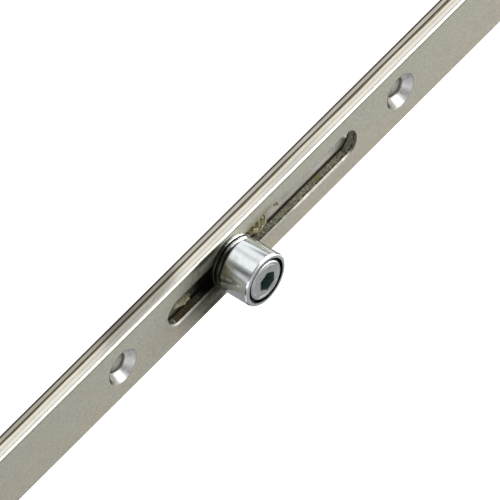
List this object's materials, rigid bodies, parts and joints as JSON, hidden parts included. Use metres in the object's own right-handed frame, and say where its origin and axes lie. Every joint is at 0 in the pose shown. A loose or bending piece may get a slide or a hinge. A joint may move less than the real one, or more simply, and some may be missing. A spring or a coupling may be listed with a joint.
{
  "type": "multipoint door lock roller point",
  "caption": "Stretch of a multipoint door lock: slotted faceplate, sliding drive rail behind it, and an eccentric roller cam that a hex key adjusts.",
  "frame": {"origin": "middle of the faceplate's length and width, at the lowest face of the keeper discs that the strip lies on", "axes": "+X along the strip, +Y across it, +Z out of the door's edge along the roller's axis"},
  "size_m": [0.21, 0.016, 0.0144],
  "materials": {
    "faceplate_steel": "satin rolled steel",
    "rail_steel": "dull rolled steel with grease",
    "turned_steel": "turned steel",
    "spring_steel": "blued spring steel",
    "zinc_plate": "turned and zinc plated",
    "polished_zinc": "polished and zinc plated",
    "black_plastic": "moulded black plastic"
  },
  "bodies": {
    "strip": {"faceplate": "faceplate_steel", "guide_bush_upper": "turned_steel", "guide_bush_lower": "turned_steel", "glide_washer_upper": "black_plastic", "glide_washer_lower": "black_plastic", "keeper_disc_upper": "turned_steel", "keeper_disc_lower": "turned_steel"},
    "rail": {"drive_rail": "rail_steel", "friction_spring": "spring_steel"},
    "cam": {"eccentric_stud": "zinc_plate", "base_disc": "zinc_plate", "wear_ring": "black_plastic", "thrust_collar": "zinc_plate", "back_washer": "turned_steel", "clench_ring": "turned_steel"},
    "roller": {"roller_sleeve": "polished_zinc", "roller_liner": "black_plastic"}
  },
  "joints": [
    {"name": "rail_slide", "type": "slide", "parent": "strip", "child": "rail", "axis": [1, 0, 0], "range_m": [-0.0115, 0.0115]},
    {"name": "cam_adjust", "type": "hinge", "parent": "rail", "child": "cam", "pos_m": [0.0093, 0, 0.0095], "axis": [0, 0, 1], "continuous": true},
    {"name": "roller_spin", "type": "hinge", "parent": "cam", "child": "roller", "pos_m": [0.00962, -0.00055, 0.0095], "axis": [0, 0, 1], "continuous": true}
  ]
}
